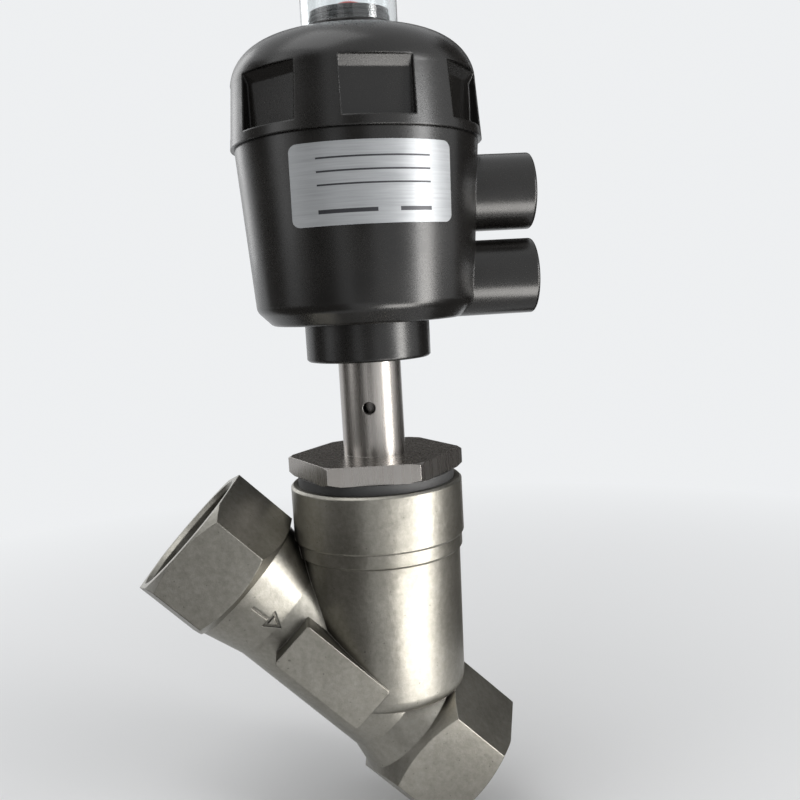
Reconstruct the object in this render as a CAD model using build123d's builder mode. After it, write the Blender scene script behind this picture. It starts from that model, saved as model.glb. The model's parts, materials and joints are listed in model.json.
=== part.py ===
"""Pneumatic angle seat valve with a one inch pipe run and a 50 mm piston actuator.

The spindle lies on the Z axis with the actuator on top. The pipe run crosses it at the origin,
in the XZ plane: it falls from the inlet, up at -X, to the outlet, down at +X.
All sizes are in millimetres. Names that end in _z are heights above the origin.
"""

import os
from math import cos, radians, sin, sqrt, tan

from build123d import *

os.makedirs("parts", exist_ok=True)

# --- Clearances -------------------------------------------------------------------------------
seat_gap = 0.02  # parts that are screwed or pressed together
running_gap = 0.05  # parts that slide or turn in each other
loose_gap = 0.3  # parts that pass each other freely

# --- Pipe run: threaded bores in hexagon ends -------------------------------------------------
run_angle = 45.0  # between the spindle and the pipe run
inlet_reach = 72.6  # from the axes' crossing to the inlet face
outlet_reach = 29.8
run_hex_flats = 41.0  # between the front and back flats
run_flat_width = 23.8  # of the front and back flats
run_side_width = 40.8  # between the corners of the side facets
inlet_hex_length = 20.0
outlet_hex_length = 21.9
hex_chamfer_angle = 30.0  # from the end faces
hex_face_margin = 0.3  # between the end face and the flats
neck_waist_radius = 16.0
neck_flare_radius = 18.2
inlet_flare_length = 12.0
outlet_flare_length = 7.0
pipe_thread_radius = 16.62  # root of the G1 thread
pipe_thread_lead = 1.2
pipe_thread_depth = 16.5
flow_bore_radius = 13.2

# --- Barrel, seat and neck ring of the body ---------------------------------------------------
barrel_bottom_z = 3.0
barrel_corner = 4.0
barrel_radius = 21.5
barrel_draft = 0.5  # extra radius at the top of the barrel
chamber_radius = 17.0
chamber_floor_z = 6.0
seat_bore_radius = 12.5
seat_lip_width = 1.1
seat_height = 3.0
step_height = 4.1
step_radius = 22.7
neck_ring_radius = 23.3
neck_ring_bottom_z = 46.9
neck_ring_height = 15.1
bonnet_thread_radius = 18.0

# --- Cast plates and arrow on the body --------------------------------------------------------
plate_length = 27.8
plate_width = 12.9
plate_start = 36.1  # upstream end of the plate, before the axes' crossing
plate_rise = 0.4  # in front of the barrel
arrow_depth = 0.5
arrow_line = 0.8
arrow_offset = 3.5  # from the hexagon to the tail
arrow_length = 9.6
arrow_width = 5.2

# --- Bonnet and its packing -------------------------------------------------------------------
gasket_height = 2.4
gasket_radius = 21.2
bonnet_hex_flats = 41.0
bonnet_hex_height = 5.0
bonnet_hex_turn = -5.6
bonnet_head_room = 2.0  # over the disc when the valve is open
tube_radius = 8.4
tube_bore_radius = 6.0
leak_hole_radius = 1.7
leak_hole_height = 13.0  # above the hexagon
leak_hole_azimuth = -99.7
packing_bore_radius = 8.5
gland_height = 5.0
support_ring_height = 2.4
v_ring_count = 4
v_ring_pitch = 1.9
v_ring_thickness = 1.3
v_ring_depth = 1.2
packing_washer_height = 1.6
packing_room_height = 24.0
packing_spring_wire = 1.2
packing_spring_turns = 4

# --- Spindle and valve disc -------------------------------------------------------------------
spindle_radius = 5.0
spindle_thread_radius = 3.95
stroke = 12.0
disc_seal_height = 3.6
disc_seal_radius = 14.6
disc_flange_radius = 14.8
disc_flange_height = 5.4
disc_neck_radius = 8.5
disc_neck_height = 10.0
disc_pin_radius = 1.5
retainer_radius = 11.6
retainer_height = 2.2
screw_radius = 3.0
screw_head_radius = 5.0
screw_head_height = 3.6
screw_grip = 4.2
screw_socket_flats = 5.0
screw_clearance = 1.7  # between the screw and the end of the spindle

# --- Swivel between bonnet tube and actuator --------------------------------------------------
collar_radius = 16.6
collar_bottom_z = 95.0
collar_sill = 4.9
collar_height = 9.9
swivel_room_radius = 12.2
swivel_nut_radius = 11.9
swivel_nut_height = 5.0
swivel_washer_height = 0.6
upper_bush_height = 8.0
oring_wire = 1.8

# --- Actuator housing -------------------------------------------------------------------------
cylinder_radius = 25.0
cylinder_floor_z = 110.3
housing_top_z = 150.2
housing_top_radius = 31.6
housing_bottom_radius = 28.8
housing_corner = 4.0
carrier_radius = 14.0
carrier_height = 3.7
port_reach = 45.4
port_radius = 10.0
port_spacing = 22.4
lower_port_z = 114.7
insert_radius = 8.0
insert_length = 12.0
air_thread_minor = 5.72
air_thread_major = 6.58
air_thread_pitch = 1.337
air_thread_lead = 0.9
air_hole_radius = 1.6

# --- Piston, springs and indicator ------------------------------------------------------------
piston_lift_gap = 2.0  # under the closed piston
piston_web = 4.0
piston_rim = 5.0
piston_height = 11.0
piston_hub_radius = 9.0
piston_hub_rise = 3.0
piston_seal_width = 3.8
piston_seal_depth = 2.4
guide_ring_width = 2.6
guide_ring_depth = 1.4
piston_washer_height = 1.6
piston_nut_flats = 13.0
piston_nut_height = 6.5
outer_spring_radius = 18.2
outer_spring_wire = 3.4
outer_spring_turns = 5.5
outer_spring_pocket = 2.5
inner_spring_radius = 11.8
inner_spring_wire = 2.4
inner_spring_turns = 7
indicator_rod_radius = 3.0
indicator_socket_radius = 5.2
indicator_socket_height = 6.7
indicator_grip = 3.0  # of the socket on the end of the spindle
indicator_pin_radius = 4.6
indicator_pin_height = 8.2
indicator_pin_gap = 1.3  # over the cover when the valve is closed
indicator_pin_grip = 4.5

# --- Cover and indicator cap ------------------------------------------------------------------
cover_radius = 32.6
cover_shoulder_radius = 31.5
cover_shoulder_z = 164.8
cover_top_z = 176.2
cover_top_radius = 18.2
cover_bore_radius = 24.0
cover_ceiling_z = 169.8
cover_spigot_radius = 28.0
cover_spigot_length = 9.1
pocket_count = 7
pocket_width = 17.3
pocket_distance = 28.6  # pocket floor to the axis
pocket_sill = 2.4  # rim left whole under the pockets
pocket_height = 13.4
pocket_ramp = 2.4
pocket_turn = -83.6
cap_boss_radius = 13.4
cap_boss_height = 2.8
cap_stub_radius = 10.2
cap_stub_height = 4.0
cap_stub_bore = 7.0
cap_radius = 12.4
cap_wall = 1.8
cap_head_room = 2.5  # over the indicator when the valve is open
cap_dome = 4.0

# --- Label ------------------------------------------------------------------------------------
label_width = 38.2
label_height = 18.8
label_corner = 1.8
label_thickness = 0.15
label_centre_z = 137.7
label_azimuth = -87.0

# --- Derived places ---------------------------------------------------------------------------
flow = (sin(radians(run_angle)), 0, -cos(radians(run_angle)))
across = (cos(radians(run_angle)), 0, sin(radians(run_angle)))
run_axis = Axis((0, 0, 0), flow)
run_section = Plane(origin=(0, 0, 0), x_dir=flow, z_dir=(0, -1, 0))  # x along the flow, y outwards

seat_top_z = chamber_floor_z + seat_height
barrel_top_z = neck_ring_bottom_z - step_height
neck_ring_top_z = neck_ring_bottom_z + neck_ring_height
bonnet_hex_bottom_z = neck_ring_top_z + gasket_height
bonnet_hex_top_z = bonnet_hex_bottom_z + bonnet_hex_height

disc_flange_bottom_z = seat_top_z + seat_gap + disc_seal_height
disc_neck_bottom_z = disc_flange_bottom_z + disc_flange_height
disc_neck_top_z = disc_neck_bottom_z + disc_neck_height
spindle_bottom_z = disc_flange_bottom_z + screw_grip + screw_clearance
disc_pin_z = disc_neck_bottom_z + disc_neck_height * 0.6

bonnet_bottom_z = disc_neck_top_z + stroke + bonnet_head_room
packing_top_z = bonnet_bottom_z + packing_room_height
gland_top_z = bonnet_bottom_z + gland_height
support_top_z = gland_top_z + support_ring_height
v_rings_top_z = support_top_z + v_ring_count * v_ring_pitch + v_ring_depth
packing_spring_bottom_z = v_rings_top_z + packing_washer_height

housing_bottom_z = collar_bottom_z + collar_height
swivel_room_z = collar_bottom_z + collar_sill
swivel_seal_z = collar_bottom_z + collar_sill / 2
swivel_nut_z = swivel_room_z + swivel_washer_height + running_gap
carrier_bottom_z = cylinder_floor_z - carrier_height
tube_top_z = swivel_nut_z + swivel_nut_height

piston_bottom_z = cylinder_floor_z + piston_lift_gap
piston_top_z = piston_bottom_z + piston_height
piston_hub_top_z = piston_top_z + piston_hub_rise
spindle_shoulder_z = piston_bottom_z + piston_web
piston_nut_z = piston_hub_top_z + piston_washer_height
indicator_socket_z = piston_nut_z + piston_nut_height
spindle_top_z = indicator_socket_z + indicator_grip
outer_spring_z = piston_top_z - outer_spring_pocket

upper_port_z = lower_port_z + port_spacing
port_names = {"air_port_insert_lower": lower_port_z, "air_port_insert_upper": upper_port_z}

spigot_bottom_z = housing_top_z - cover_spigot_length
cap_seat_z = cover_top_z + cap_boss_height
cap_stub_top_z = cap_seat_z + cap_stub_height
cap_bottom_z = cap_seat_z + running_gap
indicator_pin_z = cover_top_z + indicator_pin_gap
indicator_rod_top_z = indicator_pin_z + indicator_pin_grip
cap_inner_top_z = indicator_pin_z + indicator_pin_height + stroke + cap_head_room
cap_top_z = cap_inner_top_z + cap_wall


# --- Shared features --------------------------------------------------------------------------
def annulus(inner, outer, bottom, top, mode=Mode.ADD):
    """A plain ring round the spindle, in the part being built."""
    with BuildSketch(Plane.XY.offset(bottom)) as section:
        Circle(outer)
        if inner > 0:
            Circle(inner, mode=Mode.SUBTRACT)
    extrude(section.sketch, amount=top - bottom, mode=mode)


def turned(points, mode=Mode.ADD):
    """A body turned round the spindle from (radius, height) points."""
    with BuildSketch(Plane.XZ) as section:
        with BuildLine():
            Polyline(*points, close=True)
        make_face()
    revolve(section.sketch, axis=Axis.Z, mode=mode)


def torus(ring_radius, wire, height, mode=Mode.ADD):
    """An O-ring round the spindle."""
    with BuildSketch(Plane.XZ) as section:
        with Locations((ring_radius, height)):
            Circle(wire / 2)
    revolve(section.sketch, axis=Axis.Z, mode=mode)


def run_turned(points, mode=Mode.ADD):
    """A body turned round the pipe run from (distance downstream, radius) points."""
    with BuildSketch(run_section) as section:
        with BuildLine():
            Polyline(*points, close=True)
        make_face()
    revolve(section.sketch, axis=run_axis, mode=mode)


def thread_wall(lead, depth, pitch, minor, major):
    """Points of a female thread with V grooves, its crests even about the middle: (depth, radius)."""
    count = 2 * int((depth - lead) / (2 * pitch))
    start = (lead + depth - (count - 0.2) * pitch) / 2
    points = [(0, major + 0.1), (lead, minor)]
    for index in range(count):
        place = start + index * pitch
        points += [(place, minor), (place + pitch * 0.4, major), (place + pitch * 0.8, minor)]
    return points + [(depth, minor)]


def coil(ring_radius, wire, bottom, top, turns):
    """A coil spring round the spindle whose ends lie on bottom and top."""
    rise = top - bottom - wire
    path = Helix(
        pitch=rise / turns,
        height=rise,
        radius=ring_radius,
        center=(0, 0, bottom + wire / 2),
        mode=Mode.PRIVATE,
    )
    with BuildSketch(Plane(origin=path @ 0, z_dir=path % 0)) as section:
        Circle(wire / 2)
    sweep(section.sketch, path=path)


# --- Valve body -------------------------------------------------------------------------------
hex_corner_radius = sqrt(run_hex_flats**2 + run_flat_width**2) / 2
envelope_radius = hex_corner_radius + 1.0
hex_face_radius = run_hex_flats / 2 - hex_face_margin
inlet_hex_end = -inlet_reach + inlet_hex_length
outlet_hex_end = outlet_reach - outlet_hex_length
waist_start = inlet_hex_end + inlet_flare_length
waist_end = outlet_hex_end - outlet_flare_length

neck_root = 3.0  # of the neck inside the hexagons
outer_chamfer = (envelope_radius - hex_face_radius) * tan(radians(hex_chamfer_angle))
inner_chamfer = (envelope_radius - neck_flare_radius) * tan(radians(hex_chamfer_angle))

neck_profile = [
    (inlet_hex_end - neck_root, neck_flare_radius),
    (inlet_hex_end, neck_flare_radius),
    (waist_start, neck_waist_radius),
    (waist_end, neck_waist_radius),
    (outlet_hex_end, neck_flare_radius),
    (outlet_hex_end + neck_root, neck_flare_radius),
]
neck_axis = [(neck_profile[-1][0], 0), (neck_profile[0][0], 0)]

# The inlet passage stays above the floor of the chamber and outside the seat wall.
with BuildPart() as inlet_passage:
    with BuildSketch(Plane(origin=run_axis.position, x_dir=across, z_dir=flow).offset(-inlet_reach)):
        Circle(flow_bore_radius)
    extrude(amount=inlet_reach + seat_bore_radius / 3)
    split(bisect_by=Plane.XY.offset(chamber_floor_z + 0.5), keep=Keep.TOP)
    annulus(0, seat_bore_radius + seat_lip_width * 2, chamber_floor_z, seat_top_z, Mode.SUBTRACT)

# The arrow is cut into the neck as a line with an outlined triangle for its head.
with BuildPart() as flow_arrow:
    arrow_tail = inlet_hex_end + arrow_offset
    head_start = arrow_tail + arrow_length * 0.55
    for change, mode in ((1.0, Mode.ADD), (-arrow_depth, Mode.SUBTRACT)):
        run_turned([(place, radius + change) for place, radius in neck_profile] + neck_axis, mode)
    with BuildSketch(run_section):
        with Locations(((arrow_tail + head_start) / 2, 0)):
            Rectangle(head_start - arrow_tail, arrow_line)
        with BuildLine():
            Polyline(
                (head_start, -arrow_width / 2),
                (arrow_tail + arrow_length, 0),
                (head_start, arrow_width / 2),
                close=True,
            )
        make_face()
        with BuildLine():
            Polyline(
                (head_start + arrow_line, -arrow_width / 2 + arrow_line * 1.7),
                (arrow_tail + arrow_length - arrow_line * 1.7, 0),
                (head_start + arrow_line, arrow_width / 2 - arrow_line * 1.7),
                close=True,
            )
        make_face(mode=Mode.SUBTRACT)
    extrude(amount=neck_flare_radius * 2, mode=Mode.INTERSECT)

# Barrel round the spindle, up to the step under the neck ring
with BuildPart() as barrel:
    turned(
        [
            (0, barrel_bottom_z),
            (barrel_radius, barrel_bottom_z),
            (barrel_radius + barrel_draft, barrel_top_z),
            (0, barrel_top_z),
        ]
    )
    fillet(barrel.edges().sort_by(Axis.Z)[0], barrel_corner)

with BuildPart() as valve_body:
    # The two hexagons, chamfered on both ends by a turned envelope
    run_plane = Plane(origin=(0, 0, 0), x_dir=across, z_dir=flow)
    flat_corner = (run_flat_width / 2, run_hex_flats / 2)
    hex_ends = ((-inlet_reach, inlet_hex_length), (outlet_hex_end, outlet_hex_length))
    for hex_start, hex_length in hex_ends:
        with BuildSketch(run_plane.offset(hex_start)):
            Polygon(
                (run_side_width / 2, 0),
                (flat_corner[0], flat_corner[1]),
                (-flat_corner[0], flat_corner[1]),
                (-run_side_width / 2, 0),
                (-flat_corner[0], -flat_corner[1]),
                (flat_corner[0], -flat_corner[1]),
            )
        extrude(amount=hex_length)
    run_turned(
        [
            (-inlet_reach, 0),
            (-inlet_reach, hex_face_radius),
            (-inlet_reach + outer_chamfer, envelope_radius),
            (inlet_hex_end - inner_chamfer, envelope_radius),
            (inlet_hex_end, neck_flare_radius),
            (outlet_hex_end, neck_flare_radius),
            (outlet_hex_end + inner_chamfer, envelope_radius),
            (outlet_reach - outer_chamfer, envelope_radius),
            (outlet_reach, hex_face_radius),
            (outlet_reach, 0),
        ],
        mode=Mode.INTERSECT,
    )
    # Waisted neck between the hexagons
    run_turned(neck_profile + neck_axis)
    # Barrel, step and neck ring
    add(barrel.part)
    turned(
        [
            (0, barrel_top_z),
            (barrel_radius + barrel_draft, barrel_top_z),
            (step_radius, barrel_top_z + 0.6),
            (step_radius, neck_ring_bottom_z),
            (neck_ring_radius - 0.3, neck_ring_bottom_z),
            (neck_ring_radius, neck_ring_bottom_z + 0.5),
            (neck_ring_radius, neck_ring_top_z - 0.6),
            (neck_ring_radius - 0.6, neck_ring_top_z),
            (0, neck_ring_top_z),
        ]
    )
    # Bare cast plates on both sides, and the arrow on the front
    plate_face = barrel_radius + plate_rise
    with BuildSketch(run_section.offset(-plate_face)):
        with Locations((-plate_start + plate_length / 2, 0)):
            RectangleRounded(plate_length, plate_width, 0.8)
    extrude(amount=2 * plate_face)
    add(flow_arrow.part, mode=Mode.SUBTRACT)
    # Chamber with its raised seat
    turned(
        [
            (0, seat_top_z),
            (seat_bore_radius + seat_lip_width, seat_top_z),
            (seat_bore_radius + seat_lip_width * 2, chamber_floor_z),
            (chamber_radius, chamber_floor_z),
            (chamber_radius, barrel_top_z),
            (bonnet_thread_radius, barrel_top_z + 1.0),
            (bonnet_thread_radius, neck_ring_top_z),
            (0, neck_ring_top_z),
        ],
        mode=Mode.SUBTRACT,
    )
    annulus(0, seat_bore_radius, 0, seat_top_z, mode=Mode.SUBTRACT)
    # Elbow under the seat, and the outlet
    Sphere(seat_bore_radius, mode=Mode.SUBTRACT)
    with BuildSketch(run_plane):
        Circle(seat_bore_radius)
    extrude(amount=outlet_reach, mode=Mode.SUBTRACT)
    add(inlet_passage.part, mode=Mode.SUBTRACT)
    # Bores of the pipe threads, with a lead at the face and a cone down to the passage
    thread_cone = (pipe_thread_radius - flow_bore_radius + 1.0) * 0.6
    for sign, reach in ((-1, inlet_reach), (1, outlet_reach)):
        bore_profile = [
            (reach, 0),
            (reach, pipe_thread_radius + pipe_thread_lead * 0.7),
            (reach - pipe_thread_lead, pipe_thread_radius),
            (reach - pipe_thread_depth, pipe_thread_radius),
            (reach - pipe_thread_depth - thread_cone, flow_bore_radius - 1.0),
            (reach - pipe_thread_depth - thread_cone, 0),
        ]
        run_turned([(sign * place, radius) for place, radius in bore_profile], mode=Mode.SUBTRACT)
valve_body.part.label = "valve_body"
export_step(valve_body.part, "parts/valve_body.step")

# --- Bonnet -----------------------------------------------------------------------------------
with BuildPart() as bonnet:
    with BuildSketch(Plane.XY.offset(bonnet_hex_bottom_z)):
        RegularPolygon(
            radius=bonnet_hex_flats / 2, side_count=6, major_radius=False, rotation=bonnet_hex_turn
        )
    extrude(amount=bonnet_hex_height)
    bonnet_corner = bonnet_hex_flats / sqrt(3)
    turned(
        [
            (0, bonnet_hex_bottom_z),
            (bonnet_corner - 1.5, bonnet_hex_bottom_z),
            (bonnet_corner + 0.6, bonnet_hex_bottom_z + 1.0),
            (bonnet_corner + 0.6, bonnet_hex_top_z - 0.7),
            (bonnet_corner - 1.0, bonnet_hex_top_z),
            (0, bonnet_hex_top_z),
        ],
        mode=Mode.INTERSECT,
    )
    turned(
        [
            (packing_bore_radius, bonnet_bottom_z),
            (chamber_radius - loose_gap - 1.0, bonnet_bottom_z),
            (chamber_radius - loose_gap, bonnet_bottom_z + 1.0),
            (chamber_radius - loose_gap, barrel_top_z + 2.0),
            (bonnet_thread_radius - seat_gap, barrel_top_z + 3.0),
            (bonnet_thread_radius - seat_gap, bonnet_hex_bottom_z),
            (bonnet_thread_radius - seat_gap, bonnet_hex_top_z),
            (tube_radius, bonnet_hex_top_z),
            (tube_radius, tube_top_z),
            (tube_bore_radius, tube_top_z),
            (tube_bore_radius, packing_top_z),
            (packing_bore_radius, packing_top_z),
        ]
    )
    annulus(0, packing_bore_radius, bonnet_bottom_z, packing_top_z, mode=Mode.SUBTRACT)
    annulus(0, tube_bore_radius, packing_top_z, tube_top_z, mode=Mode.SUBTRACT)
    leak_plane = Plane(
        origin=(0, 0, bonnet_hex_top_z + leak_hole_height),
        z_dir=(cos(radians(leak_hole_azimuth)), sin(radians(leak_hole_azimuth)), 0),
    )
    with BuildSketch(leak_plane):
        Circle(leak_hole_radius)
    extrude(amount=tube_radius * 2, mode=Mode.SUBTRACT)
bonnet.part.label = "bonnet"
export_step(bonnet.part, "parts/bonnet.step")

with BuildPart() as body_gasket:
    annulus(bonnet_thread_radius + seat_gap, gasket_radius, neck_ring_top_z, bonnet_hex_bottom_z)
body_gasket.part.label = "body_gasket"
export_step(body_gasket.part, "parts/body_gasket.step")

# --- Packing inside the bonnet ----------------------------------------------------------------
packing_outer = packing_bore_radius - seat_gap
packing_inner = spindle_radius + running_gap

with BuildPart() as gland_bush:
    annulus(packing_inner, packing_outer, bonnet_bottom_z, gland_top_z)
    fillet(gland_bush.edges().group_by(Axis.Z)[0].sort_by(SortBy.RADIUS)[-1], 0.5)
gland_bush.part.label = "gland_bush"
export_step(gland_bush.part, "parts/gland_bush.step")

with BuildPart() as packing_support_ring:
    turned(
        [
            (packing_inner, gland_top_z),
            (packing_outer, gland_top_z),
            (packing_outer, support_top_z),
            ((packing_inner + packing_outer) / 2, support_top_z - v_ring_depth),
            (packing_inner, support_top_z),
        ]
    )
packing_support_ring.part.label = "packing_support_ring"
export_step(packing_support_ring.part, "parts/packing_support_ring.step")

with BuildPart() as packing_v_rings:
    for index in range(v_ring_count):
        tip_z = support_top_z - v_ring_depth + index * v_ring_pitch + seat_gap
        turned(
            [
                (packing_inner, tip_z + v_ring_depth),
                ((packing_inner + packing_outer) / 2, tip_z),
                (packing_outer, tip_z + v_ring_depth),
                (packing_outer, tip_z + v_ring_depth + v_ring_thickness),
                ((packing_inner + packing_outer) / 2, tip_z + v_ring_thickness),
                (packing_inner, tip_z + v_ring_depth + v_ring_thickness),
            ]
        )
packing_v_rings.part.label = "packing_v_rings"
export_step(packing_v_rings.part, "parts/packing_v_rings.step")

with BuildPart() as packing_washer:
    annulus(packing_inner + 0.2, packing_outer, v_rings_top_z, v_rings_top_z + packing_washer_height)
packing_washer.part.label = "packing_washer"
export_step(packing_washer.part, "parts/packing_washer.step")

with BuildPart() as packing_spring:
    coil(
        (spindle_radius + packing_bore_radius) / 2 + 0.4,
        packing_spring_wire,
        packing_spring_bottom_z + seat_gap,
        packing_top_z - seat_gap,
        packing_spring_turns,
    )
packing_spring.part.label = "packing_spring"
export_step(packing_spring.part, "parts/packing_spring.step")

# --- Swivel that lets the actuator turn on the bonnet -----------------------------------------
with BuildPart() as upper_guide_bush:
    annulus(packing_inner, tube_bore_radius - seat_gap, tube_top_z - upper_bush_height, tube_top_z)
upper_guide_bush.part.label = "upper_guide_bush"
export_step(upper_guide_bush.part, "parts/upper_guide_bush.step")

with BuildPart() as swivel_washer:
    annulus(
        tube_radius + loose_gap,
        swivel_nut_radius,
        swivel_room_z + running_gap,
        swivel_room_z + swivel_washer_height,
    )
swivel_washer.part.label = "swivel_washer"
export_step(swivel_washer.part, "parts/swivel_washer.step")

with BuildPart() as swivel_nut:
    annulus(tube_radius + seat_gap, swivel_nut_radius, swivel_nut_z, tube_top_z)
    with BuildSketch(Plane.XY.offset(tube_top_z)):
        with PolarLocations(swivel_nut_radius, 4):
            Rectangle(3.0, 2.4)
    extrude(amount=-2.0, mode=Mode.SUBTRACT)
swivel_nut.part.label = "swivel_nut"
export_step(swivel_nut.part, "parts/swivel_nut.step")

with BuildPart() as swivel_seal:
    torus(tube_radius + running_gap + oring_wire / 2, oring_wire, swivel_seal_z)
swivel_seal.part.label = "swivel_seal"
export_step(swivel_seal.part, "parts/swivel_seal.step")

# --- Spindle and valve disc -------------------------------------------------------------------
with BuildPart() as spindle:
    turned(
        [
            (0, spindle_bottom_z),
            (spindle_radius - 0.6, spindle_bottom_z),
            (spindle_radius, spindle_bottom_z + 0.6),
            (spindle_radius, spindle_shoulder_z),
            (spindle_thread_radius, spindle_shoulder_z),
            (spindle_thread_radius, spindle_top_z - 0.6),
            (spindle_thread_radius - 0.6, spindle_top_z),
            (0, spindle_top_z),
        ]
    )
    with BuildSketch(Plane.XZ.offset(-spindle_radius)):
        with Locations((0, disc_pin_z)):
            Circle(disc_pin_radius + seat_gap)
    extrude(amount=2 * spindle_radius, mode=Mode.SUBTRACT)
spindle.part.label = "spindle"
export_step(spindle.part, "parts/spindle.step")

with BuildPart() as disc_holder:
    turned(
        [
            (0, disc_flange_bottom_z),
            (disc_flange_radius, disc_flange_bottom_z),
            (disc_flange_radius, disc_flange_bottom_z + 2.4),
            (disc_neck_radius, disc_neck_bottom_z),
            (disc_neck_radius, disc_neck_top_z - 0.8),
            (disc_neck_radius - 0.8, disc_neck_top_z),
            (0, disc_neck_top_z),
        ]
    )
    annulus(0, spindle_radius + seat_gap, spindle_bottom_z - 0.2, disc_neck_top_z, mode=Mode.SUBTRACT)
    screw_hole_top_z = disc_flange_bottom_z + screw_grip + 0.4
    annulus(0, screw_radius + seat_gap, disc_flange_bottom_z, screw_hole_top_z, Mode.SUBTRACT)
    with BuildSketch(Plane.XZ.offset(-disc_neck_radius)):
        with Locations((0, disc_pin_z)):
            Circle(disc_pin_radius + seat_gap)
    extrude(amount=2 * disc_neck_radius, mode=Mode.SUBTRACT)
disc_holder.part.label = "disc_holder"
export_step(disc_holder.part, "parts/disc_holder.step")

with BuildPart() as disc_pin:
    pin_half_length = disc_neck_radius - 0.3
    with BuildSketch(Plane.XZ.offset(-pin_half_length)):
        with Locations((0, disc_pin_z)):
            Circle(disc_pin_radius)
    extrude(amount=2 * pin_half_length)
disc_pin.part.label = "disc_pin"
export_step(disc_pin.part, "parts/disc_pin.step")

with BuildPart() as disc_seal:
    annulus(screw_radius + 3.0, disc_seal_radius, seat_top_z + seat_gap, disc_flange_bottom_z)
    fillet(disc_seal.edges().group_by(Axis.Z)[0].sort_by(SortBy.RADIUS)[-1], 0.4)
disc_seal.part.label = "disc_seal"
export_step(disc_seal.part, "parts/disc_seal.step")

with BuildPart() as seal_retainer:
    retainer_top_z = seat_top_z + seat_gap
    annulus(screw_radius + seat_gap, retainer_radius, retainer_top_z - retainer_height, retainer_top_z)
    annulus(screw_radius + seat_gap, screw_radius + 3.0 - seat_gap, retainer_top_z, disc_flange_bottom_z)
    chamfer(seal_retainer.edges().group_by(Axis.Z)[0].sort_by(SortBy.RADIUS)[-1], 0.7)
seal_retainer.part.label = "seal_retainer"
export_step(seal_retainer.part, "parts/seal_retainer.step")

with BuildPart() as retainer_screw:
    head_top_z = retainer_top_z - retainer_height
    annulus(0, screw_head_radius, head_top_z - screw_head_height, head_top_z)
    annulus(0, screw_radius, head_top_z, disc_flange_bottom_z + screw_grip)
    with BuildSketch(Plane.XY.offset(head_top_z - screw_head_height)):
        RegularPolygon(radius=screw_socket_flats / 2, side_count=6, major_radius=False)
    extrude(amount=screw_head_height * 0.6, mode=Mode.SUBTRACT)
retainer_screw.part.label = "retainer_screw"
export_step(retainer_screw.part, "parts/retainer_screw.step")

# --- Piston on the spindle --------------------------------------------------------------------
piston_radius = cylinder_radius - running_gap
guide_ring_z = piston_bottom_z + 1.6
piston_seal_z = piston_top_z - 1.6 - piston_seal_width

with BuildPart() as piston:
    annulus(0, piston_radius - 0.1, piston_bottom_z, piston_top_z)
    annulus(0, piston_hub_radius, piston_top_z, piston_hub_top_z)
    rim_radius = piston_radius - piston_rim
    annulus(piston_hub_radius, rim_radius, piston_bottom_z, spindle_shoulder_z, Mode.SUBTRACT)
    annulus(
        outer_spring_radius - outer_spring_wire / 2 - loose_gap,
        outer_spring_radius + outer_spring_wire / 2 + loose_gap,
        outer_spring_z,
        piston_top_z,
        Mode.SUBTRACT,
    )
    annulus(
        piston_radius - piston_seal_depth,
        piston_radius + 1,
        piston_seal_z,
        piston_seal_z + piston_seal_width,
        Mode.SUBTRACT,
    )
    annulus(
        piston_radius - guide_ring_depth,
        piston_radius + 1,
        guide_ring_z,
        guide_ring_z + guide_ring_width,
        Mode.SUBTRACT,
    )
    annulus(0, spindle_radius + seat_gap, piston_bottom_z, spindle_shoulder_z, Mode.SUBTRACT)
    annulus(0, spindle_thread_radius + seat_gap, spindle_shoulder_z, piston_hub_top_z, Mode.SUBTRACT)
piston.part.label = "piston"
export_step(piston.part, "parts/piston.step")

with BuildPart() as piston_seal:
    seal_inner = piston_radius - piston_seal_depth + seat_gap
    seal_middle = (seal_inner + piston_radius) / 2
    turned(
        [
            (seal_inner, piston_seal_z + seat_gap),
            (seal_middle, piston_seal_z + 1.4),
            (piston_radius, piston_seal_z + seat_gap),
            (piston_radius, piston_seal_z + piston_seal_width * 0.5),
            (piston_radius - 0.5, piston_seal_z + piston_seal_width - seat_gap),
            (seal_inner, piston_seal_z + piston_seal_width - seat_gap),
        ]
    )
piston_seal.part.label = "piston_seal"
export_step(piston_seal.part, "parts/piston_seal.step")

with BuildPart() as piston_guide_ring:
    annulus(
        piston_radius - guide_ring_depth + seat_gap,
        piston_radius,
        guide_ring_z + seat_gap,
        guide_ring_z + guide_ring_width - seat_gap,
    )
piston_guide_ring.part.label = "piston_guide_ring"
export_step(piston_guide_ring.part, "parts/piston_guide_ring.step")

with BuildPart() as piston_washer:
    annulus(spindle_thread_radius + 0.2, piston_hub_radius - 0.5, piston_hub_top_z, piston_nut_z)
piston_washer.part.label = "piston_washer"
export_step(piston_washer.part, "parts/piston_washer.step")

with BuildPart() as piston_nut:
    with BuildSketch(Plane.XY.offset(piston_nut_z)):
        RegularPolygon(radius=piston_nut_flats / 2, side_count=6, major_radius=False)
        Circle(spindle_thread_radius + seat_gap, mode=Mode.SUBTRACT)
    extrude(amount=piston_nut_height)
    chamfer(piston_nut.edges().filter_by(GeomType.CIRCLE).sort_by(Axis.Z)[-1], 0.4)
piston_nut.part.label = "piston_nut"
export_step(piston_nut.part, "parts/piston_nut.step")

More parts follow.
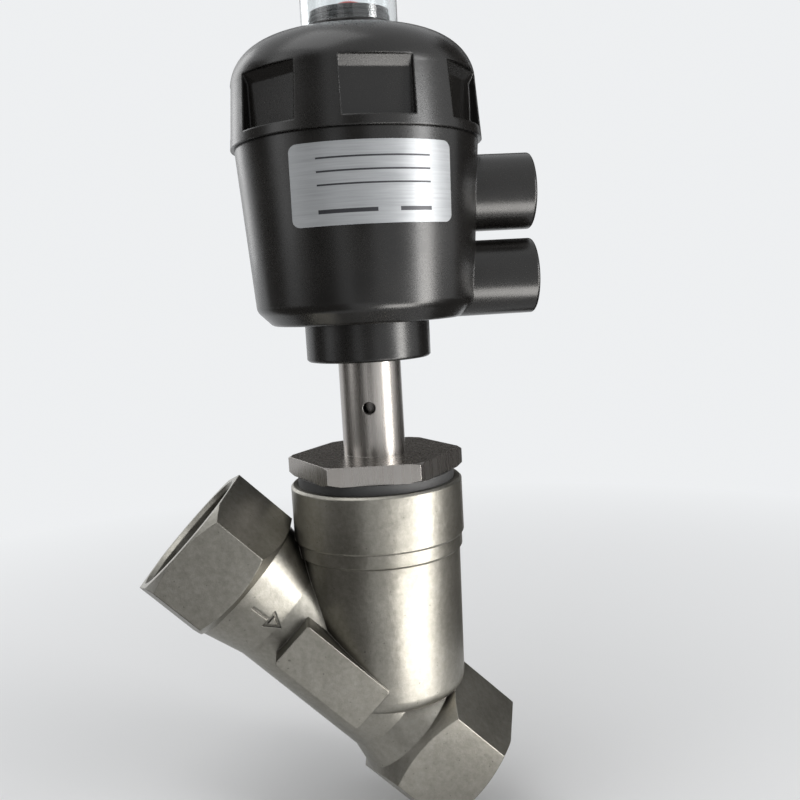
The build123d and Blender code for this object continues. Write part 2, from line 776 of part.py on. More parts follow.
# --- Position indicator -----------------------------------------------------------------------
with BuildPart() as indicator_rod:
    socket_top_z = indicator_socket_z + indicator_socket_height
    turned(
        [
            (spindle_thread_radius + seat_gap, indicator_socket_z + seat_gap),
            (indicator_socket_radius, indicator_socket_z + seat_gap),
            (indicator_socket_radius, socket_top_z - 1.0),
            (indicator_rod_radius, socket_top_z),
            (indicator_rod_radius, indicator_rod_top_z),
            (0, indicator_rod_top_z),
            (0, spindle_top_z + loose_gap),
            (spindle_thread_radius + seat_gap, spindle_top_z + loose_gap),
        ]
    )
indicator_rod.part.label = "indicator_rod"
export_step(indicator_rod.part, "parts/indicator_rod.step")

with BuildPart() as indicator_pin:
    annulus(0, indicator_pin_radius, indicator_pin_z, indicator_pin_z + indicator_pin_height)
    fillet(indicator_pin.edges().sort_by(Axis.Z)[-1], indicator_pin_radius * 0.5)
    rod_hole_top_z = indicator_rod_top_z + seat_gap
    annulus(0, indicator_rod_radius + seat_gap, indicator_pin_z, rod_hole_top_z, Mode.SUBTRACT)
indicator_pin.part.label = "indicator_pin"
export_step(indicator_pin.part, "parts/indicator_pin.step")

# --- Actuator housing -------------------------------------------------------------------------
with BuildPart() as actuator_housing:
    turned(
        [
            (0, collar_bottom_z),
            (collar_radius - 0.5, collar_bottom_z),
            (collar_radius, collar_bottom_z + 0.5),
            (collar_radius, housing_bottom_z),
            (housing_bottom_radius - housing_corner, housing_bottom_z),
            (housing_bottom_radius, housing_bottom_z + housing_corner),
            (housing_top_radius, housing_top_z),
            (0, housing_top_z),
        ]
    )
    corner_edges = actuator_housing.edges().filter_by(GeomType.CIRCLE)
    fillet(
        [e for e in corner_edges if abs(e.radius - housing_bottom_radius) < 0.01], housing_corner * 0.8
    )
    corner_edges = actuator_housing.edges().filter_by(GeomType.CIRCLE)
    fillet(
        [e for e in corner_edges if abs(e.radius - (housing_bottom_radius - housing_corner)) < 0.01],
        housing_corner * 0.5,
    )
    # Two bosses for the air ports, side by side along the spindle
    for port_z in port_names.values():
        with BuildSketch(Plane.YZ.offset(port_reach)):
            with Locations((0, port_z)):
                Circle(port_radius)
        extrude(amount=-(port_reach - cylinder_radius + 1.0))
    boss_ends = actuator_housing.edges().filter_by(GeomType.CIRCLE).group_by(Axis.X)[-1]
    fillet(boss_ends, 0.8)
    # Cylinder, thread for the cover and the room for the swivel
    annulus(0, cylinder_radius, cylinder_floor_z, housing_top_z, Mode.SUBTRACT)
    annulus(0, cover_spigot_radius, spigot_bottom_z - 0.2, housing_top_z, Mode.SUBTRACT)
    annulus(0, carrier_radius + seat_gap, carrier_bottom_z, cylinder_floor_z, Mode.SUBTRACT)
    annulus(0, swivel_room_radius, swivel_room_z, carrier_bottom_z, Mode.SUBTRACT)
    annulus(0, tube_radius + running_gap, collar_bottom_z, swivel_room_z, Mode.SUBTRACT)
    annulus(
        0,
        tube_radius + oring_wire + 2 * running_gap,
        swivel_seal_z - oring_wire / 2 - running_gap,
        swivel_seal_z + oring_wire / 2 + running_gap,
        Mode.SUBTRACT,
    )
    # Seats of the threaded inserts, and the air holes into the two chambers
    lower_hole_z = cylinder_floor_z + air_hole_radius + 0.4
    for port_z, hole_z in ((upper_port_z, upper_port_z), (lower_port_z, lower_hole_z)):
        with BuildSketch(Plane.YZ.offset(port_reach)):
            with Locations((0, port_z)):
                Circle(insert_radius + seat_gap)
        extrude(amount=-insert_length, mode=Mode.SUBTRACT)
        with BuildSketch(Plane.YZ.offset(port_reach - insert_length)):
            with Locations((0, hole_z)):
                Circle(air_hole_radius)
        extrude(amount=-(port_reach - insert_length - cylinder_radius + 1.5), mode=Mode.SUBTRACT)
actuator_housing.part.label = "actuator_housing"
export_step(actuator_housing.part, "parts/actuator_housing.step")

for name, port_z in port_names.items():
    with BuildPart() as air_port_insert:
        insert_face = port_reach - 0.2
        insert_depth = insert_length - 0.4
        points = thread_wall(
            air_thread_lead, insert_depth, air_thread_pitch, air_thread_minor, air_thread_major
        )
        points += [(insert_depth, insert_radius), (0, insert_radius)]
        with BuildSketch(Plane.XZ):
            with BuildLine():
                places = [(insert_face - depth, port_z + radius) for depth, radius in points]
                Polyline(*places, close=True)
            make_face()
        revolve(axis=Axis((0, 0, port_z), (1, 0, 0)))
    air_port_insert.part.label = name
    export_step(air_port_insert.part, f"parts/{name}.step")

with BuildPart() as rod_seal_carrier:
    annulus(spindle_radius + loose_gap, carrier_radius, carrier_bottom_z + seat_gap, cylinder_floor_z)
    annulus(
        0,
        spindle_radius + oring_wire + 0.4,
        carrier_bottom_z + 1.0,
        carrier_bottom_z + 1.2 + oring_wire,
        Mode.SUBTRACT,
    )
    with BuildSketch(Plane.XY.offset(cylinder_floor_z)):
        with PolarLocations((spindle_radius + carrier_radius) / 2 + 1.5, 2, start_angle=45):
            Circle(1.2)
    extrude(amount=-1.2, mode=Mode.SUBTRACT)
rod_seal_carrier.part.label = "rod_seal_carrier"
export_step(rod_seal_carrier.part, "parts/rod_seal_carrier.step")

with BuildPart() as rod_seal:
    rod_seal_radius = spindle_radius + oring_wire / 2 + running_gap
    torus(rod_seal_radius, oring_wire, carrier_bottom_z + 1.1 + oring_wire / 2)
rod_seal.part.label = "rod_seal"
export_step(rod_seal.part, "parts/rod_seal.step")

# --- Return springs ---------------------------------------------------------------------------
with BuildPart() as outer_return_spring:
    coil(
        outer_spring_radius,
        outer_spring_wire,
        outer_spring_z + seat_gap,
        cover_ceiling_z - seat_gap,
        outer_spring_turns,
    )
outer_return_spring.part.label = "outer_return_spring"
export_step(outer_return_spring.part, "parts/outer_return_spring.step")

with BuildPart() as inner_return_spring:
    coil(
        inner_spring_radius,
        inner_spring_wire,
        piston_top_z + seat_gap,
        cover_ceiling_z - seat_gap,
        inner_spring_turns,
    )
inner_return_spring.part.label = "inner_return_spring"
export_step(inner_return_spring.part, "parts/inner_return_spring.step")

# --- Cover ------------------------------------------------------------------------------------
with BuildPart() as pocket_cutter:
    # One pocket of the cover at azimuth 0, with a ramp at its top
    pocket_bottom_z = housing_top_z + pocket_sill
    pocket_top_z = pocket_bottom_z + pocket_height
    with BuildSketch(Plane.XZ.offset(-pocket_width / 2)):
        with BuildLine():
            Polyline(
                (pocket_distance, pocket_bottom_z),
                (pocket_distance, pocket_top_z - pocket_ramp),
                (pocket_distance + pocket_ramp * 0.6, pocket_top_z),
                (cover_radius + 2, pocket_top_z),
                (cover_radius + 2, pocket_bottom_z),
                close=True,
            )
        make_face()
    extrude(amount=pocket_width)

cover_seal_z = housing_top_z - cover_spigot_length / 2

with BuildPart() as actuator_cover:
    with BuildSketch(Plane.XZ):
        with BuildLine():
            Line((0, housing_top_z), (cover_radius, housing_top_z))
            Line((cover_radius, housing_top_z), (cover_shoulder_radius, cover_shoulder_z))
            EllipticalCenterArc(
                (cover_top_radius, cover_shoulder_z),
                cover_shoulder_radius - cover_top_radius,
                cover_top_z - cover_shoulder_z,
                arc_size=90,
            )
            Line((cover_top_radius, cover_top_z), (0, cover_top_z))
            Line((0, cover_top_z), (0, housing_top_z))
        make_face()
    revolve(axis=Axis.Z)
    with PolarLocations(0, pocket_count, start_angle=pocket_turn):
        add(pocket_cutter.part, mode=Mode.SUBTRACT)
    annulus(0, cover_spigot_radius - seat_gap, spigot_bottom_z, housing_top_z)
    annulus(0, cap_boss_radius, cover_top_z, cap_seat_z)
    annulus(0, cap_stub_radius, cap_seat_z, cap_stub_top_z)
    # Spring room, rod hole and the well of the indicator
    annulus(0, cover_bore_radius, spigot_bottom_z, cover_ceiling_z, Mode.SUBTRACT)
    annulus(0, indicator_rod_radius + running_gap, cover_ceiling_z, cover_top_z, Mode.SUBTRACT)
    annulus(0, cap_stub_bore, cover_top_z, cap_stub_top_z, Mode.SUBTRACT)
    # Grooves of the two O-rings
    annulus(
        cover_spigot_radius - oring_wire + 0.1,
        cover_spigot_radius + 1,
        cover_seal_z - oring_wire / 2 - 0.1,
        cover_seal_z + oring_wire / 2 + 0.1,
        Mode.SUBTRACT,
    )
    annulus(
        cap_stub_radius - 1.0,
        cap_stub_radius + 1,
        cap_seat_z + 1.4,
        cap_seat_z + 2.8,
        Mode.SUBTRACT,
    )
actuator_cover.part.label = "actuator_cover"
export_step(actuator_cover.part, "parts/actuator_cover.step")

with BuildPart() as cover_seal:
    torus(cover_spigot_radius - oring_wire / 2 + 0.05, oring_wire - 0.14, cover_seal_z)
cover_seal.part.label = "cover_seal"
export_step(cover_seal.part, "parts/cover_seal.step")

with BuildPart() as cap_seal:
    torus(cap_stub_radius - 0.37, 1.2, cap_seat_z + 2.1)
cap_seal.part.label = "cap_seal"
export_step(cap_seal.part, "parts/cap_seal.step")

with BuildPart() as indicator_cap:
    annulus(0, cap_radius, cap_bottom_z, cap_top_z)
    fillet(indicator_cap.edges().sort_by(Axis.Z)[-1], cap_dome)
    cap_inner = cap_radius - cap_wall
    with BuildSketch(Plane.XY.offset(cap_bottom_z)):
        Circle(cap_inner)
    extrude(amount=cap_inner_top_z - cap_bottom_z, mode=Mode.SUBTRACT)
indicator_cap.part.label = "indicator_cap"
export_step(indicator_cap.part, "parts/indicator_cap.step")

# --- Label ------------------------------------------------------------------------------------
with BuildPart() as rating_label:
    housing_slope = (housing_top_radius - housing_bottom_radius) / (
        housing_top_z - housing_bottom_z - housing_corner
    )
    label_low_z = label_centre_z - label_height / 2 - 2
    label_high_z = label_centre_z + label_height / 2 + 2
    low_radius = housing_top_radius - housing_slope * (housing_top_z - label_low_z) + seat_gap
    high_radius = housing_top_radius - housing_slope * (housing_top_z - label_high_z) + seat_gap
    turned(
        [
            (low_radius, label_low_z),
            (low_radius + label_thickness, label_low_z),
            (high_radius + label_thickness, label_high_z),
            (high_radius, label_high_z),
        ]
    )
    label_plane = Plane(
        origin=(0, 0, label_centre_z),
        x_dir=(-sin(radians(label_azimuth)), cos(radians(label_azimuth)), 0),
        z_dir=(cos(radians(label_azimuth)), sin(radians(label_azimuth)), 0),
    )
    with BuildSketch(label_plane):
        RectangleRounded(label_width, label_height, label_corner)
    extrude(amount=housing_top_radius + 2, mode=Mode.INTERSECT)
rating_label.part.label = "rating_label"
export_step(rating_label.part, "parts/rating_label.step")
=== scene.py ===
"""Angle seat valve: materials, label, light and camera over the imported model. All lengths in metres."""

import json
from math import cos, pi, radians, sin

import bpy
from mathutils import Matrix, Vector


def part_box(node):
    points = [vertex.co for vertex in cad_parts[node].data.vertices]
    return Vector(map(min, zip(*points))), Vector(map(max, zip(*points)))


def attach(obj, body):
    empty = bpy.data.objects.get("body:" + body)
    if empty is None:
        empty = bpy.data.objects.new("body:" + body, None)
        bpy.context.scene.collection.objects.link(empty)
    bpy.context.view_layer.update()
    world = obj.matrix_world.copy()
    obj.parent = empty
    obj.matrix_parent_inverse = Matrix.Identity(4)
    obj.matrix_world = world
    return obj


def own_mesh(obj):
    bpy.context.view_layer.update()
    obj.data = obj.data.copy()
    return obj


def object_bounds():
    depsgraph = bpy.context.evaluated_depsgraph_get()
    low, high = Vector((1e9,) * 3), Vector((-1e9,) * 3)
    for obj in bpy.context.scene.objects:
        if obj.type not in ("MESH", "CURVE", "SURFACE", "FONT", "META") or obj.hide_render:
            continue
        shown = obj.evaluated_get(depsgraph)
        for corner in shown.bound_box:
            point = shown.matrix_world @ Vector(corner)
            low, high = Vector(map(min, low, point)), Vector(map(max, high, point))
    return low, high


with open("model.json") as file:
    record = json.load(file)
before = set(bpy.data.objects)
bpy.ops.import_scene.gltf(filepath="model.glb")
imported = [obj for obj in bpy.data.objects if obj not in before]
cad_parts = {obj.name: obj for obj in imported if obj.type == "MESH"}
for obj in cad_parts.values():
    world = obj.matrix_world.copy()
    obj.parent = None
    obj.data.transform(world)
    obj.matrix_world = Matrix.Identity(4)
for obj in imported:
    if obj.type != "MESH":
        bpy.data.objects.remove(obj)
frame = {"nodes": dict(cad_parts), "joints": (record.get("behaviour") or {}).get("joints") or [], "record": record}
loaded_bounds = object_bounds()
nodes = frame["nodes"]
scene = bpy.context.scene
mm = 0.001


# --- Shader helpers --------------------------------------------------------------------------
def seen_rays(tree):
    """1 for what the camera sees directly, in a reflection or through glass, and 0 for other rays."""
    paths = tree.nodes.new("ShaderNodeLightPath")
    value = paths.outputs["Is Camera Ray"]
    for name in ("Is Glossy Ray", "Is Transmission Ray"):
        node = tree.nodes.new("ShaderNodeMath")
        node.operation = "MAXIMUM"
        tree.links.new(value, node.inputs[0])
        tree.links.new(paths.outputs[name], node.inputs[1])
        value = node.outputs[0]
    return value


class Shader:
    """A node material with the Principled shader, and short calls that add to it."""

    def __init__(self, name, **sockets):
        self.material = bpy.data.materials.new(name)
        self.material.use_nodes = True
        self.tree = self.material.node_tree
        self.surface = self.tree.nodes["Principled BSDF"]
        for socket, value in sockets.items():
            self.surface.inputs[socket.replace("_", " ")].default_value = value
        self.place = self.add("ShaderNodeTexCoord").outputs["Object"]

    def add(self, kind, **settings):
        node = self.tree.nodes.new(kind)
        for key, value in settings.items():
            setattr(node, key, value)
        return node

    def link(self, source, target):
        self.tree.links.new(source, target)

    def stretched(self, scale, place=None):
        """Object coordinates scaled per axis, so that one noise can run along one axis."""
        mapping = self.add("ShaderNodeMapping")
        mapping.inputs["Scale"].default_value = scale
        self.link(place or self.place, mapping.inputs["Vector"])
        return mapping.outputs["Vector"]

    def noise(self, scale, detail=3.0, roughness=0.55, place=None):
        node = self.add("ShaderNodeTexNoise")
        node.inputs["Scale"].default_value = scale
        node.inputs["Detail"].default_value = detail
        node.inputs["Roughness"].default_value = roughness
        self.link(place or self.place, node.inputs["Vector"])
        return node.outputs["Fac"]

    def spread(self, value, low, high, start=0.3, end=0.7):
        """value between start and end becomes low to high."""
        node = self.add("ShaderNodeMapRange")
        node.inputs["From Min"].default_value = start
        node.inputs["From Max"].default_value = end
        node.inputs["To Min"].default_value = low
        node.inputs["To Max"].default_value = high
        self.link(value, node.inputs["Value"])
        return node.outputs["Result"]

    def math(self, operation, *values):
        node = self.add("ShaderNodeMath", operation=operation)
        for socket, value in zip(node.inputs, values):
            if isinstance(value, (int, float)):
                socket.default_value = value
            else:
                self.link(value, socket)
        return node.outputs["Value"]

    def weigh(self, a, share, b):
        """a and b added: share of a, and the rest of b."""
        return self.math("ADD", self.math("MULTIPLY", a, share), self.math("MULTIPLY", b, 1 - share))

    def mix(self, factor, a, b):
        """Colour a where factor is 0 and b where it is 1."""
        node = self.add("ShaderNodeMix", data_type="RGBA")
        colour_a, colour_b, result = node.inputs[6], node.inputs[7], node.outputs[2]
        for socket, value in ((node.inputs["Factor"], factor), (colour_a, a), (colour_b, b)):
            if isinstance(value, (int, float, tuple)):
                socket.default_value = value
            else:
                self.link(value, socket)
        return result

    def hollow_shade(self, reach, most, low, high):
        """Mask for painted shade: most where the openness within reach metres is low or less, and 0 where it is
        high or more.
        """
        node = self.add("ShaderNodeAmbientOcclusion", samples=6)
        node.inputs["Distance"].default_value = reach
        return self.spread(node.outputs["AO"], most, 0, low, high)

    def colour(self, output):
        self.link(output, self.surface.inputs["Base Color"])

    def roughness(self, output):
        self.link(output, self.surface.inputs["Roughness"])

    def bump(self, *layers, bevel=0.0):
        """Stacks layers of (height, depth in metres) over edges rounded by bevel metres."""
        normal = None
        if bevel:
            node = self.add("ShaderNodeBevel", samples=6)
            node.inputs["Radius"].default_value = bevel
            normal = node.outputs["Normal"]
        for height, depth in layers:
            node = self.add("ShaderNodeBump")
            node.inputs["Strength"].default_value = 1.0
            node.inputs["Distance"].default_value = depth
            self.link(height, node.inputs["Height"])
            if normal:
                self.link(normal, node.inputs["Normal"])
            normal = node.outputs["Normal"]
        if normal:
            self.link(normal, self.surface.inputs["Normal"])


def grey(value, warm=0.0):
    """A grey, or with warm above 0 one with more red and less blue."""
    return (value * (1 + warm), value, value * (1 - warm), 1.0)


# --- Materials ---------------------------------------------------------------------------------
def cast_steel():
    """Investment-cast stainless steel, bead blasted and passivated: a fine grain, dents and a few pits, with
    painted shade darkening its hollows.
    """
    m = Shader("cast_steel", Metallic=1.0)
    broad = m.noise(30, 4)
    mottle = m.noise(700, 4, 0.7)
    grain = m.noise(2600, 3, 0.6)
    dents = m.noise(230, 2)
    pits = m.spread(m.noise(900, 1), 1, 0, 0.20, 0.27)
    dark_metal, light_metal = (0.215, 0.206, 0.178, 1), (0.325, 0.313, 0.280, 1)
    metal = m.mix(m.spread(m.weigh(broad, 0.55, mottle), 0, 1, 0.36, 0.64), dark_metal, light_metal)
    # Darker pits in the steel, plus painted shade where little space is open within 3 mm, in grooves, seams and
    # along raised edges.
    pits_and_painted_shade = m.math("MAXIMUM", m.math("MULTIPLY", pits, 0.5), m.hollow_shade(0.003, 0.9, 0.3, 0.85))
    m.colour(m.mix(pits_and_painted_shade, metal, grey(0.05, 0.1)))
    m.roughness(m.spread(m.weigh(broad, 0.4, grain), 0.29, 0.45))
    m.bump((dents, 0.00010), (mottle, 0.00002), (grain, 0.00002), bevel=0.0004)
    return m.material


def turned_steel():
    """Turned stainless steel: fine rings round the spindle and a few brighter streaks along it, with painted shade
    where it lies deep in a bore.
    """
    value, rough = 0.36, 0.26
    m = Shader("turned_steel", Metallic=1.0)
    rings = m.noise(1, 2, place=m.stretched((60, 60, 7000)))
    streaks = m.noise(1, 3, place=m.stretched((900, 900, 22)))
    metal = m.mix(m.spread(streaks, 0, 1), grey(value * 0.93, 0.07), grey(value * 1.03, 0.05))
    # Painted shade: where little space is open within 5 mm, such as on the spindle inside its bore, the steel
    # turns near black.
    m.colour(m.mix(m.hollow_shade(0.005, 1.0, 0.08, 0.45), metal, grey(0.006)))
    m.roughness(m.spread(streaks, rough * 0.95, rough * 1.15))
    m.bump((rings, 0.000012), bevel=0.0002)
    return m.material


def spring_steel():
    m = Shader("spring_steel", Metallic=1.0)
    drawn = m.noise(1400, 3)
    m.colour(m.mix(m.spread(drawn, 0, 1), grey(0.30), grey(0.44)))
    m.roughness(m.spread(drawn, 0.22, 0.4))
    m.bump((drawn, 0.00001))
    return m.material


def plastic(name, low, high, rough, grain_scale, grain_depth, bevel=0.0):
    """Moulded plastic: faint colour drift, uneven gloss and a fine grain."""
    m = Shader(name)
    drift = m.noise(45, 3)
    grain = m.noise(grain_scale, 3, 0.6)
    m.colour(m.mix(m.spread(drift, 0, 1), low, high))
    m.roughness(m.spread(m.weigh(drift, 0.6, grain), *rough))
    m.bump((drift, 0.00006), (grain, grain_depth), bevel=bevel)
    return m.material


def nickel_brass():
    m = Shader("nickel_brass", Metallic=1.0)
    rings = m.noise(1, 2, place=m.stretched((6000, 90, 90)))
    m.colour(m.mix(m.spread(rings, 0, 1), (0.62, 0.58, 0.48, 1), (0.74, 0.71, 0.62, 1)))
    m.roughness(m.spread(rings, 0.2, 0.34))
    m.bump((rings, 0.000008))
    return m.material


def label_foil(centre, width, height):
    """Silver label with ruled bars in place of print. centre is its middle, in the frame of the row."""
    m = Shader("label_foil", Metallic=0.35)
    split = m.add("ShaderNodeSeparateXYZ")
    m.link(m.place, split.inputs["Vector"])
    across = m.math("DIVIDE", m.math("SUBTRACT", split.outputs["X"], centre.x), width)
    upwards = m.math("DIVIDE", m.math("SUBTRACT", split.outputs["Z"], centre.z), height)

    def bar(x0, x1, z, thickness):
        """1 inside a printed bar, as shares of the label's width and height."""
        inside_x = m.math("MULTIPLY", m.math("GREATER_THAN", across, x0), m.math("LESS_THAN", across, x1))
        off = m.math("ABSOLUTE", m.math("SUBTRACT", upwards, z))
        return m.math("MULTIPLY", inside_x, m.math("LESS_THAN", off, thickness / 2))

    left, right, thin, thick, foot = -0.34, 0.36, 0.022, 0.05, -0.33
    bars = [(left, right, z, thin) for z in (0.31, 0.15, -0.01)]
    bars += [(left, 0.02, foot, thick), (0.16, right, foot, thick)]
    ink = bar(*bars[0])
    for place in bars[1:]:
        ink = m.math("MAXIMUM", ink, bar(*place))
    fibre = m.noise(1, 3, place=m.stretched((90, 90, 2600)))
    foil = m.mix(m.spread(fibre, 0, 1), (0.33, 0.34, 0.35, 1), (0.40, 0.41, 0.42, 1))
    m.colour(m.mix(ink, foil, (0.035, 0.035, 0.04, 1)))
    m.roughness(m.spread(fibre, 0.34, 0.46))
    m.bump((m.noise(140, 3), 0.00008))
    return m.material


def clear_plastic():
    m = Shader("clear_plastic", Transmission_Weight=1.0, IOR=1.58)
    haze = m.noise(70, 3)
    m.colour(m.mix(m.spread(haze, 0, 1), (0.86, 0.89, 0.90, 1), (0.93, 0.95, 0.95, 1)))
    m.roughness(m.spread(haze, 0.03, 0.09))
    m.bump((haze, 0.00005))
    return m.material


low_corner, high_corner = (Vector(c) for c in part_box("rating_label"))
label_size = high_corner - low_corner
label_centre = (low_corner + high_corner) / 2
finishes = {
    "cast_steel": cast_steel(),
    "turned_steel": turned_steel(),
    "spring_steel": spring_steel(),
    "gasket": plastic("gasket", grey(0.025), grey(0.045), (0.5, 0.7), 1800, 0.00002),
    "ptfe": plastic("ptfe", grey(0.78, 0.01), grey(0.84), (0.35, 0.5), 1500, 0.00001),
    "black_polyamide": plastic(
        "black_polyamide", grey(0.0055, 0.1), grey(0.010, 0.1), (0.20, 0.33), 2600, 0.000008, bevel=0.0006
    ),
    "grey_polyamide": plastic("grey_polyamide", grey(0.15), grey(0.2), (0.45, 0.6), 1600, 0.00002),
    "rubber": plastic("rubber", grey(0.02), grey(0.035), (0.45, 0.6), 1500, 0.00002),
    "nickel_brass": nickel_brass(),
    "label": label_foil(label_centre, label_size.x, label_size.z),
    "red_plastic": plastic(
        "red_plastic", (0.55, 0.03, 0.02, 1), (0.66, 0.05, 0.03, 1), (0.3, 0.4), 1500, 0.00001
    ),
    "clear_plastic": clear_plastic(),
}
for part in frame["record"]["subparts"]:
    piece = nodes[part["node"]]
    piece.data.materials.clear()
    piece.data.materials.append(finishes[part["material_slot"]])
    piece.data.polygons.foreach_set("material_index", [0] * len(piece.data.polygons))


# --- Threads of the pipe ends -------------------------------------------------------------------
def pipe_thread(name, mount_name, thread_pitch, thread_depth):
    """The helical ridge of a female thread, inside the plain bore of a mount."""
    mount = next(m for m in frame["record"]["mounts"] if m["name"] == mount_name)
    axis = Vector(mount["axis"]).normalized()
    side = axis.cross(Vector((0, 1, 0))).normalized()
    depthwise = axis.cross(side)
    sunk = 0.02 * mm  # into the wall of the bore
    root = mount["dims"]["r_mm"] * mm + sunk
    length = mount["dims"]["length_mm"] * mm
    free_end = 0.55  # plain bore at each end, in pitches
    start = Vector(mount["pos_m"]) - axis * (length / 2 - thread_pitch * free_end)
    turns = (length - thread_pitch * 2 * free_end) / thread_pitch
    fading_turns = 0.4
    steps_per_turn = 96
    steps = int(turns * steps_per_turn)
    half_root, half_crest = 0.48, 0.10  # in pitches
    profile = ((-half_root, 0.0), (-half_crest, 1.0), (half_crest, 1.0), (half_root, 0.0))
    corners = len(profile)
    points = []
    for step in range(steps + 1):
        angle = 2 * pi * step / steps_per_turn
        near_end = min(step, steps - step) / (steps_per_turn * fading_turns)
        height = thread_depth * min(1.0, near_end)
        radial = side * cos(angle) + depthwise * sin(angle)
        centre = start + axis * (thread_pitch * step / steps_per_turn)
        for along, rise in profile:
            points.append(centre + axis * (along * thread_pitch) + radial * (root - rise * height))
    faces = []
    for step in range(steps):
        for corner in range(corners):
            here = step * corners + corner
            beside = step * corners + (corner + 1) % corners
            faces.append((here, beside, beside + corners, here + corners))
    last = steps * corners
    faces += [(3, 2, 1, 0), (last, last + 1, last + 2, last + 3)]
    mesh = bpy.data.meshes.new(name)
    mesh.from_pydata(points, [], faces)
    mesh.update()
    ridge = bpy.data.objects.new(name, mesh)
    scene.collection.objects.link(ridge)
    ridge.data.materials.append(finishes["cast_steel"])
    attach(ridge, "body")


g1_pitch = 2.309 * mm
g1_depth = 1.47 * mm
pipe_thread("inlet_thread", "inlet_port", g1_pitch, g1_depth)
pipe_thread("outlet_thread", "outlet_port", g1_pitch, g1_depth)


# --- Return springs, which the piston shortens -----------------------------------------------------
stem_stroke = next(joint for joint in frame["joints"] if joint["name"] == "stem_stroke")
for spring in stem_stroke["deforming_nodes"]:
    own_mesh(nodes[spring["node"]])


# --- Stage: floor, light and background -------------------------------------------------------------
lowest, highest = (Vector(c) for c in loaded_bounds)
floor_z = lowest.z
background_level = 0.88
background_tint = (0.97, 0.985, 1.0, 1)
world_light = 0.45  # strength of the world for rays that only light the object
floor_fade_start, floor_fade_end = 0.05, 0.42  # distances at which the floor starts and ends its fade
floor_span = 6.0


def plain_mesh(name, corners):
    """One flat face of the stage."""
    mesh = bpy.data.meshes.new(name)
    mesh.from_pydata(corners, [], [tuple(range(len(corners)))])
    thing = bpy.data.objects.new(name, mesh)
    scene.collection.objects.link(thing)
    return thing


def floor_material():
    """Matt pale floor that fades into the background away from the object."""
    m = Shader("floor_paint", Roughness=0.9)
    m.surface.inputs["Specular IOR Level"].default_value = 0.1
    m.colour(m.mix(m.noise(3, 2), grey(0.79), grey(0.81)))
    distance = m.add("ShaderNodeVectorMath", operation="LENGTH")
    m.link(m.add("ShaderNodeNewGeometry").outputs["Position"], distance.inputs[0])
    far = m.spread(distance.outputs["Value"], 0, 1, floor_fade_start, floor_fade_end)
    glow = m.add("ShaderNodeEmission")
    glow.inputs["Color"].default_value = background_tint
    glow.inputs["Strength"].default_value = background_level
    blend = m.add("ShaderNodeMixShader")
    m.link(m.math("MULTIPLY", far, seen_rays(m.tree)), blend.inputs["Fac"])
    m.link(m.surface.outputs["BSDF"], blend.inputs[1])
    m.link(glow.outputs["Emission"], blend.inputs[2])
    m.link(blend.outputs["Shader"], m.tree.nodes["Material Output"].inputs["Surface"])
    return m.material


quarters = ((-1, -1), (1, -1), (1, 1), (-1, 1))
floor = plain_mesh("floor", [(x * floor_span, y * floor_span, floor_z) for x, y in quarters])
floor.data.materials.append(floor_material())

world = bpy.data.worlds.new("studio")
scene.world = world
world.use_nodes = True
tree = world.node_tree
background = tree.nodes["Background"]
level = tree.nodes.new("ShaderNodeMapRange")
level.inputs["To Min"].default_value = world_light
level.inputs["To Max"].default_value = background_level
tree.links.new(seen_rays(tree), level.inputs["Value"])
tree.links.new(level.outputs["Result"], background.inputs["Strength"])
background.inputs["Color"].default_value = background_tint


def aimed(thing, place, target):
    """Stands thing at place with its -Z towards target."""
    thing.location = place
    thing.rotation_euler = (Vector(target) - Vector(place)).to_track_quat("-Z", "Y").to_euler()


def around(azimuth, distance, height):
    """A place round the object, seen from above: azimuth in degrees, 0 along +X."""
    return Vector((cos(radians(azimuth)) * distance, sin(radians(azimuth)) * distance, height))


def softbox(name, place, target, size, power):
    """A rectangular lamp. power is in watts."""
    data = bpy.data.lights.new(name, "AREA")
    data.shape = "RECTANGLE"
    data.size, data.size_y = size
    data.energy = power
    lamp = bpy.data.objects.new(name, data)
    scene.collection.objects.link(lamp)
    aimed(lamp, place, target)


middle = (lowest + highest) / 2
softbox("key", around(-34, 0.55, 0.14), Vector((0, 0, 0.05)), (0.14, 0.40), 1.9)
softbox("fill", around(-160, 0.80, 0.40), middle, (0.4, 0.7), 0.8)
softbox("top", Vector((-0.25, -0.15, 0.85)), middle, (0.6, 0.6), 2.0)
softbox("back", around(128, 0.80, 0.40), middle, (0.25, 0.6), 0.9)


def reflection_board(name, corners, value, glow=0.0):
    """A board seen only in reflections, so that bare metal shows its form. glow makes it a light one."""
    board = plain_mesh(name, corners)
    board.visible_camera = False
    board.visible_diffuse = False
    board.visible_transmission = False
    board.visible_shadow = False
    paint = Shader(name + "_paint", Roughness=0.9)
    paint.surface.inputs["Specular IOR Level"].default_value = 0.1
    paint.colour(paint.mix(paint.noise(4, 2), grey(value * 0.9, 0.06), grey(value * 1.1, 0.06)))
    paint.surface.inputs["Emission Color"].default_value = (1, 0.98, 0.95, 1)
    paint.surface.inputs["Emission Strength"].default_value = glow
    board.data.materials.append(paint.material)
    return board


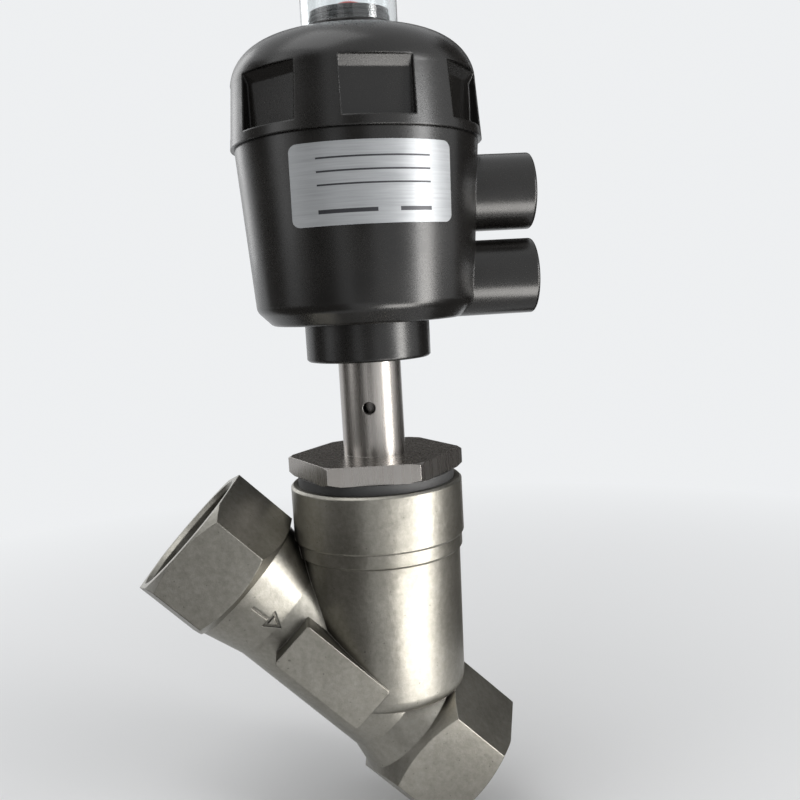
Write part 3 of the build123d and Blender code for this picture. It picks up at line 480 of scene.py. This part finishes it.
def upright_board(name, azimuth, distance, height, size, value, glow=0.0):
    """A reflection board that stands round the object and faces it."""
    width, tall = size
    corners = [(x * width / 2, y * tall / 2, 0) for x, y in quarters]
    place = around(azimuth, distance, height)
    aimed(reflection_board(name, corners, value, glow), place, Vector((0, 0, height)))


def floor_mat(name, azimuths, distances, value, glow=0.0):
    """A reflection board just over the floor, between two azimuths and two distances."""
    near, far = distances
    first, last = azimuths
    steps = 8
    lifted = floor_z + 0.001
    angles = [first + (last - first) * step / steps for step in range(steps + 1)]
    ring = [around(angle, far, lifted) for angle in angles]
    ring += [around(angle, near, lifted) for angle in reversed(angles)]
    reflection_board(name, ring, value, glow)


# The strip and the glowing mat draw the long highlights of the tube, the neck ring and the barrel
upright_board("strip_right", -33, 0.25, 0.045, (0.06, 0.165), 0.8, 13.0)
upright_board("board_front_left", -140, 1.00, middle.z, (0.70, 1.5), 0.05)
upright_board("board_front", -95, 1.05, middle.z, (0.40, 1.3), 0.16)
upright_board("board_right", 32, 1.00, 0.35, (0.85, 1.5), 0.05)
upright_board("board_back", 80, 0.95, 0.42, (0.75, 0.75), 0.10)
upright_board("board_back_left", 165, 1.00, middle.z, (0.60, 1.4), 0.14)
floor_mat("mat_left", (-215, -112), (0.10, 0.9), 0.13)
floor_mat("mat_right", (-14, 60), (0.12, 0.9), 0.06)
floor_mat("mat_glow", (-74, -34), (0.11, 0.24), 0.8, 8.5)

# --- Camera ---------------------------------------------------------------------------------------------
yaw, pitch, roll = radians(5.87), radians(7.20), radians(3.18)
eye = Vector((-16.6, -236.2, 113.0)) * mm
ahead = Vector((sin(yaw) * cos(pitch), cos(yaw) * cos(pitch), -sin(pitch)))
right = Vector((cos(yaw), -sin(yaw), 0))
up = right.cross(ahead)
right, up = right * cos(roll) - up * sin(roll), right * sin(roll) + up * cos(roll)
lens = bpy.data.cameras.new("camera")
lens.sensor_width = 36.0
lens.lens = 39.6
lens.clip_start = 0.01
lens.clip_end = 50
columns = (right, up, -ahead, eye)
camera = bpy.data.objects.new("camera", lens)
scene.collection.objects.link(camera)
camera.matrix_world = Matrix([[column[row] for column in columns] for row in range(3)] + [[0, 0, 0, 1]])
scene.camera = camera
scene.view_settings.view_transform = "Standard"
